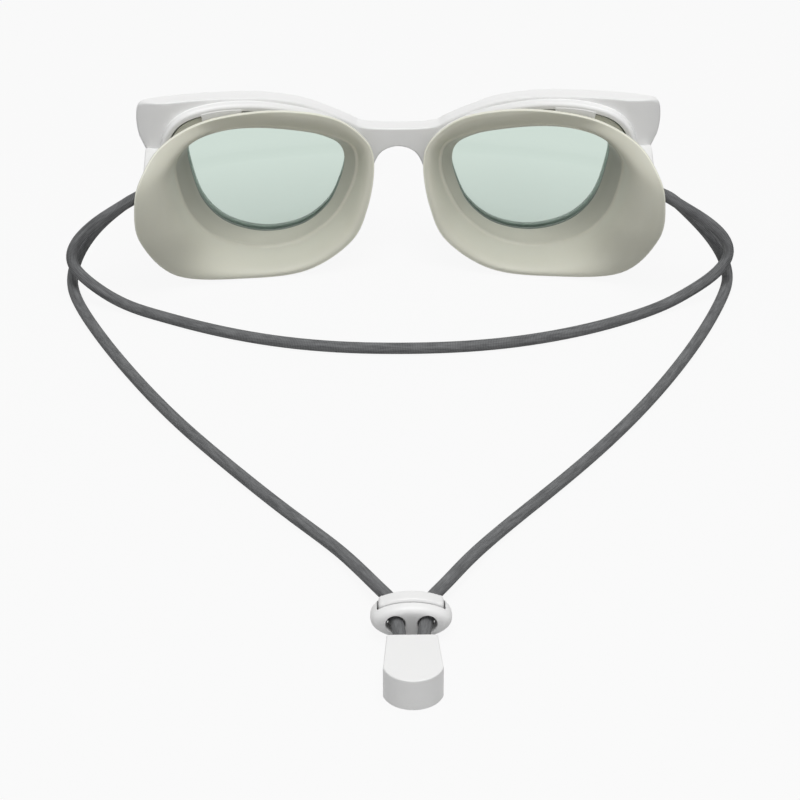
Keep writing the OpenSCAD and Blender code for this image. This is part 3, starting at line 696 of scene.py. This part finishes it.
# Lenses, carrier rings and soft cups. A cup's flare is one curve: lead, fall and spread say how it leaves
# the throat, roll how it reaches the rim
lens = dict(front=0.75, thickness=2.0, inset=2.5, edge=0.3, reach=78)
carrier = dict(front=-1.4, depth=2.4, lip=0.8, gap=0.95, inset=2.5, corner=0.4, bevel=0.15)
cup = dict(front=-2.35, seat=-3.95, flange=0.6, flangeInset=2.75, rootShare=0.55, lining=0.8, wall=1.4, rimWall=1.1,
           throatDepth=8, templeDepth=4, templeFrom=40, templeRun=23,
           lead=(0.35, 0.4, 20), spread=(0.25, 0.2, 48, 12), fall=(0.6, 1.6), shoulder=0.55,
           roll=(0.4, 0.9, 1.1, 2.7), tip=0.45, rimEdge=0.2, crease=0.15, foldRun=0.03, step=0.8, stepRun=0.025,
           lip=0.3,
           flare=[0.06, 0.1, 0.15, 0.21, 0.28, 0.36, 0.45, 0.54, 0.63, 0.72, 0.8, 0.87, 0.94, 1],
           # the next list gives painted shade levels for the mouth, lining and fold of the throat, stronger towards
           # the temple
           paintedLight=[(0, 0.6), (0, 0.7), (0, 0.8), (0.1, 1), (0.225, 1), (0.4, 1), (0.45, 0.9), (0.35, 0.6),
                   (0.15, 0.2)], paintedShadeFrom=38, paintedShadeRun=25)

bm = bmesh.new()
a, b = lens["inset"], lens["edge"]
rings = [flatRing(pocket, a + i, lens["front"] - j) for i, j in quarter(b, 3)]
rings += [flatRing(pocket, a + i, lens["front"] - lens["thickness"] + j) for i, j in reversed(quarter(b, 3))]
skinWithEnds(bm, rings)
sliceAcross(bm, 0, lens["reach"], front["slices"])
wrapAll(bm)
placePair("lens", bm, lensGreen)


def throatAt(across):
    return -cup["throatDepth"] - cup["templeDepth"] * max(0, (across - cup["templeFrom"]) / cup["templeRun"]) ** 2


def liningAt(i, depth):
    share = max(0, (cup["front"] - depth) / (cup["front"] - throatAt(throat[i].x)))
    return opening[i].lerp(throat[i], share)


def lifted(p, depth):
    return wrapped(p.x, depth, p.y)


def carrierSection(i):
    outer = pocket[i] + carrier["inset"] * pocketIn[i]
    back = -carrier["gap"] * openingIn[i]
    near, lip, corner = carrier["front"], carrier["front"] - carrier["lip"], carrier["corner"]
    far = carrier["front"] - carrier["depth"]
    return [lifted(outer, near), lifted(opening[i], near), lifted(opening[i], lip), lifted(opening[i] + back, lip),
            lifted(liningAt(i, far) + back, far), lifted(outer + corner * pocketIn[i], far),
            lifted(outer, far + corner)]


# One closed section of a cup: lining, fold, flare, rim edge, outside and flange
def cupSection(i):
    throatDepth = throatAt(throat[i].x)
    start = lifted(throat[i], throatDepth)
    flat = Vector((rim[i].x - start.x, rim[i].z - start.z))
    out, run, drop = flat.normalized(), flat.length - cup["tip"], rim[i].y - start.y
    least, more, deepest = cup["lead"]
    lead = -drop * (least + more * min(1, -drop / deepest))
    wide, narrowing, narrowFrom, narrowRun = cup["spread"]
    spread = wide - narrowing * min(1, max(0, (throat[i].x - narrowFrom) / narrowRun))
    level, low, temple, corner = cup["roll"]
    roll = level + low * max(0, -out.y) - max(0, out.x) * (temple + corner * max(0, out.y))
    fall = cup["fall"][0] + cup["fall"][1] * (wide - spread)
    pts = [Vector((0, 0)), Vector((spread * run, -fall * lead)), Vector((cup["shoulder"] * run, drop - roll)),
           Vector((run, drop))]

    def bellAt(t):
        s = 1 - t
        return s ** 3 * pts[0] + 3 * s * s * t * pts[1] + 3 * s * t * t * pts[2] + t ** 3 * pts[3]

    def flareAt(t):
        return bellAt(t) + Vector((cup["step"] * (1 - math.exp(-t / cup["stepRun"])) * (1 - t) ** 2, 0))

    def outsideAt(t):
        s = 1 - t
        d = (s * s * (pts[1] - pts[0]) + 2 * s * t * (pts[2] - pts[1]) + t * t * (pts[3] - pts[2])).normalized()
        return bellAt(t) + (cup["wall"] * (1 - t) + cup["rimWall"] * t) * Vector((-d.y, d.x))

    def turned(p):
        return start + Vector((out.x * p.x, p.y, out.y * p.x))

    def liningWall(share):
        depth = cup["front"] + (throatDepth - cup["front"]) * share
        return lifted(liningAt(i, depth), depth)

    # the fold between lining and flare has a small round
    before = start.lerp(liningWall(0), cup["crease"] / (start - liningWall(0)).length)
    after = turned(flareAt(cup["foldRun"]))
    fold = [(1 - t) ** 2 * before + 2 * t * (1 - t) * start + t * t * after for t in (0, 0.25, 0.5, 0.75, 1)]
    e, w, reach = cup["rimEdge"], cup["rimWall"], run + cup["tip"]
    edge = [Vector((reach - a, drop + b)) for a, b in quarter(e, 3)]
    edge += [Vector((reach - a, drop + w - b)) for a, b in reversed(quarter(e, 3))]
    inner = [turned(flareAt(t)) for t in cup["flare"]]
    outer = [turned(outsideAt(t)) for t in reversed([0, *cup["flare"]])]
    seatEdge = pocket[i] + cup["flangeInset"] * pocketIn[i]
    root, flange = throat[i].lerp(seatEdge, cup["rootShare"]), cup["seat"] - cup["flange"]
    back = -cup["lining"] * openingIn[i]
    lip = cup["lip"]
    mouth = [lifted(opening[i] - a * openingIn[i], cup["front"] - b)
             for a, b in ((lip, 0), (0.3 * lip, 0.3 * lip), (0, lip))]
    return [*mouth, *[liningWall(k) for k in (0.3, 0.6)], *fold, *inner,
            *[turned(p) for p in edge], *outer, lifted(root, flange), lifted(seatEdge, flange),
            lifted(seatEdge, cup["seat"]), lifted(liningAt(i, cup["seat"]) + back, cup["seat"]),
            lifted(opening[i] + back, cup["front"])]


# How much painted shade the first points of a section get, deep in the throat and more towards the temple, with -1
# for the eight on the thin edge of the rim, which get a painted highlight;
# it is kept on the mesh for the finish, which paints both into the base colour
def paintedLightAt(i):
    temple = max(0, (throat[i].x - cup["paintedShadeFrom"]) / cup["paintedShadeRun"])
    paintedShadeLevels = [max(least, temple * share) for least, share in cup["paintedLight"]]
    return [*paintedShadeLevels, *[0] * (len(cup["flare"]) + 1), *[-1] * 8]


def eyeRing(sectionAt):
    bm = bmesh.new()
    sections = [sectionAt(i) for i in range(len(pocket))]
    paintedLightLevels = {p.to_tuple(3): d for i, points in enumerate(sections) for p, d in zip(points, paintedLightAt(i))}
    skinRings(bm, [list(ring) for ring in zip(*sections)], closed=True)
    layer = bm.verts.layers.float.new("paintedLight")
    for vert in bm.verts:
        vert[layer] = paintedLightLevels.get(vert.co.to_tuple(3), 0)
    bmesh.ops.recalc_face_normals(bm, faces=bm.faces)
    return bm


for name, sectionAt, material, slotName in (("carrier", carrierSection, carrierGrey, "carrier"),
                                            ("gasket", cupSection, cupSilicone, "cup")):
    bm = eyeRing(sectionAt)
    if name == "carrier":
        rounded(bm, cornersOf(bm), carrier["bevel"], 2)
    placePair(name, bm, material, sharp=50)
print("lenses, carriers and cups made")

# Slide lock: a domed slice with cord holes, and the button in its pocket
lock = dict(y=-185, width=19.3, height=9.4, depth=8.4, middle=4.5, holeZ=4.7, pitch=7.5, hole=4.6, flare=0.35,
            facets=96, boreReach=7, pocketTop=20, pocketEdge=0.4,
            rows=[(-0.5, 0.5), (-0.49, 0.66), (-0.465, 0.78), (-0.41, 0.885), (-0.31, 0.955), (-0.18, 0.99), (0, 1),
                  (0.2, 0.985), (0.35, 0.935), (0.44, 0.855), (0.485, 0.75), (0.5, 0.62)],
            pocketY=-184.3, pocketDepth=4.5, pocketWidth=16.1, capLow=5.0, travel=1.1, gap=0.2,
            legWidth=10.8, floor=0.85)
bm = bmesh.new()
made = bmesh.ops.create_circle(bm, cap_ends=False, segments=lock["facets"], radius=1,
                               matrix=Matrix.Rotation(math.pi / 2, 4, "X"))["verts"]
circle = [v.co.copy() for v in made]
circle.sort(key=lambda p: math.atan2(p.z, p.x))
bm.clear()
rings = [[Vector((lock["width"] / 2 * s * p.x, lock["y"] + share * lock["depth"],
                  max(0, lock["middle"] + lock["height"] / 2 * s * p.z))) for p in circle]
         for share, s, _ in smoothRoute([(*row, 0) for row in lock["rows"]], 3)]
skinWithEnds(bm, rings)
lockObj = linked("lockBody", meshOf("lockBody", bm))


def boxCutter(name, low, high, bevel=0.0):
    bm = bmesh.new()
    bmesh.ops.create_cube(bm, size=1)
    size = [b - a for a, b in zip(low, high)]
    bmesh.ops.scale(bm, vec=size, verts=bm.verts)
    bmesh.ops.translate(bm, vec=[(a + b) / 2 for a, b in zip(low, high)], verts=bm.verts)
    if bevel:
        rounded(bm, [e for e in bm.edges if abs(e.verts[0].co.z - e.verts[1].co.z) > 0.1], bevel, 4)
    return linked(name, meshOf(name, bm))


def alongY(x, y, z):
    return Matrix.Translation((x, y, z)) @ Matrix.Rotation(math.pi / 2, 4, "X")


flared = boreOutline(lock["hole"] / 2, lock["depth"] / 2, lock["flare"], lock["boreReach"], 4)
cutters = [turnedShape("cordBore", flared, alongY(s * lock["pitch"] / 2, lock["y"], lock["holeZ"]))
           for s in (-1, 1)]
y0, y1 = lock["pocketY"] - lock["pocketDepth"] / 2, lock["pocketY"] + lock["pocketDepth"] / 2
low = lock["capLow"] - lock["travel"] - lock["gap"]
w, leg = lock["pocketWidth"] / 2, lock["legWidth"] / 2 + lock["gap"]
cutters.append(boxCutter("capPocket", (-w, y0, low), (w, y1, lock["pocketTop"]), lock["pocketEdge"]))
cutters.append(boxCutter("legPocket", (-leg, y0, lock["floor"]), (leg, y1, low + 1), lock["pocketEdge"]))
combined(lockObj, cutters)
finishPiece(lockObj, shellWhite, "lock", ["lock_body"], sharp=32)

button = dict(width=15.3, thickness=4.1, top=9.9, sag=1.75, corner=1.0, low=5.0, legLow=2.05, legWidth=10.8,
              bevel=0.75, crownSteps=12, slotWidth=3.8, slotLow=2.95, slotHigh=7.85, slotNear=-190, slotFar=-178,
              bore=2.9, boreLow=-1, boreTop=7.25, boreFacets=40)


def arcRadius(width, rise):
    return ((width / 2) ** 2 + rise ** 2) / (2 * rise)


arc = arcRadius(button["width"], button["sag"])
w, leg, yNear = button["width"] / 2, button["legWidth"] / 2, lock["pocketY"] - button["thickness"] / 2
flat = w - button["corner"]
across = [flat * (1 - k / button["crownSteps"]) for k in range(2 * button["crownSteps"] + 1)]
crown = [(x, button["top"] - arc + math.sqrt(arc ** 2 - x ** 2)) for x in across]
ends = [(flat + button["corner"] * math.sin(t), crown[0][1] - button["corner"] * (1 - math.cos(t)))
        for t in (math.radians(a) for a in range(90, 0, -15))]
shape = [*ends, *crown, *[(-x, z) for x, z in reversed(ends)], (-w, button["low"]), (-leg, button["low"]),
         (-leg, button["legLow"]), (leg, button["legLow"]), (leg, button["low"]), (w, button["low"])]
bm = prism([(x, yNear, z) for x, z in shape], (0, button["thickness"], 0))
rounded(bm, cornersOf(bm), button["bevel"], 3)
buttonObj = linked("lockButton", meshOf("lockButton", bm))
slotHalf = button["slotWidth"] / 2
cutters = [boxCutter("slot", (x - slotHalf, button["slotNear"], button["slotLow"]),
                     (x + slotHalf, button["slotFar"], button["slotHigh"]))
           for x in (-lock["pitch"] / 2, lock["pitch"] / 2)]
r, low, high = button["bore"] / 2, button["boreLow"], button["boreTop"]
cutters.append(turnedShape("springBore", [(0, low), (r, low), (r, high), (0, high)],
                           Matrix.Translation((0, lock["pocketY"], 0)), button["boreFacets"]))
combined(buttonObj, cutters)
finishPiece(buttonObj, buttonWhite, "button", ["lock_button"], sharp=32)
print("lock and button made")

# Bell end that hides the ferrules on the cord ends
bell = dict(y=-197.9, frontWidth=11.9, width=13.8, side=13.1, bow=5.4, height=8.1, wall=1.2, holeZ=4, pitch=5,
            corner=0.6, edge=0.35, footEdge=0.12, hole=3.5, holeEdge=0.2, boreReach=(-3, 2), arcSteps=24)
bellArc = arcRadius(bell["width"], bell["bow"])
bellCentre = bell["y"] - bell["side"] - bell["bow"] + bellArc


def bellPlan(a, z):
    f, r, c = bell["frontWidth"] / 2 - a, bellArc - a, bell["corner"]
    w = math.asin((bell["width"] / 2 - a) / r)
    n = bell["arcSteps"]
    turn = [math.radians(t) for t in (0, 22.5, 45, 67.5, 90)]
    left = [(-f + c - c * math.sin(t), bell["y"] - a - c + c * math.cos(t)) for t in turn]
    sweep = [w * (2 * k / n - 1) for k in range(n + 1)]
    back = [(r * math.sin(t), bellCentre - r * math.cos(t)) for t in sweep]
    return [Vector((x, y, z)) for x, y in [*left, *back, *[(-x, y) for x, y in reversed(left)]]]


bm = bmesh.new()
top, wall, foot = bell["height"], bell["wall"], bell["footEdge"]
rings = [bellPlan(wall, top - wall), bellPlan(wall, 0), bellPlan(foot, 0), bellPlan(0, foot)]
rings += [bellPlan(a, top - b) for a, b in reversed(quarter(bell["edge"], 5))]
skinWithEnds(bm, rings)
bellObj = linked("bellCover", meshOf("bellCover", bm))
r, e = bell["hole"] / 2, bell["holeEdge"]
near, far = bell["boreReach"]
flared = [(0, near), (r, near), *[(r + a, -b) for a, b in reversed(quarter(e, 3))], (r + e, far), (0, far)]
forward = Matrix.Rotation(-math.pi / 2, 4, "X")
places = [Matrix.Translation((s * bell["pitch"] / 2, bell["y"], bell["holeZ"])) @ forward for s in (-1, 1)]
combined(bellObj, [turnedShape("bellBore", flared, place) for place in places])
finishPiece(bellObj, shellWhite, "front", ["bell_cover"], sharp=32)

for node, material in (("bell_base", shellWhite), ("lock_spring", springSteel), ("ferrule_left", ferruleMetal),
                       ("ferrule_right", ferruleMetal)):
    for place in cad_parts[node].material_slots:
        place.material = material
print("bell end made")

# Floor, sky and lamps
stage = dict(size=6, tone=0.45, white=0.92, ambient=0.28, aim=(0, -0.08, 0.02),
             lamps=dict(key=((0.04, -0.2, 0.8), 0.5, 4.35), fill=((0, -0.9, 0.36), 0.7, 1.65),
                        far=((0, 1.4, 0.1), 0.9, 2.4)))
bm = bmesh.new()
bmesh.ops.create_grid(bm, x_segments=1, y_segments=1, size=stage["size"] / 2)
floorMesh = bpy.data.meshes.new("floor")
bm.to_mesh(floorMesh)
bm.free()
floor = linked("floor", floorMesh)
f = Finish(bpy.data.materials.new("paperWhite"))
paper = f.node("BsdfDiffuse", {}, {"Color": (stage["tone"],) * 3 + (1,)})
glow = f.node("Emission", {}, {"Color": (1, 1, 1, 1), "Strength": 1.0})
path = f.node("LightPath", {}, {})
mirrors = path.maths("MAXIMUM", path.beside("Is Glossy Ray"), path.beside("Is Transmission Ray"))
seen = path.maths("MAXIMUM", path.beside("Is Camera Ray") * stage["white"], mirrors)
f.node("OutputMaterial", {}, {"Surface": f.node("MixShader", {}, [seen, paper, glow])})
floorMesh.materials.append(f.owner)

world = bpy.data.worlds.new("studio")
scene.world = world
air = Finish(world)
path = air.node("LightPath", {}, {})
mirrors = path.maths("MAXIMUM", path.beside("Is Glossy Ray"), path.beside("Is Transmission Ray"))
direct = path.maths("MAXIMUM", path.beside("Is Camera Ray"), mirrors)
brightness = direct * (1 - stage["ambient"]) + stage["ambient"]
sky = air.node("Background", {}, {"Color": (1, 1, 1, 1), "Strength": brightness})
air.node("OutputWorld", {}, {"Surface": sky})

for name, (place, size, power) in stage["lamps"].items():
    lampData = bpy.data.lights.new(name, "AREA")
    lampData.shape, lampData.size, lampData.energy = "SQUARE", size, power
    lamp = bpy.data.objects.new(name, lampData)
    lamp.location = place
    lamp.rotation_euler = (Vector(stage["aim"]) - lamp.location).to_track_quat("-Z", "Y").to_euler()
    scene.collection.objects.link(lamp)
print("studio lit")
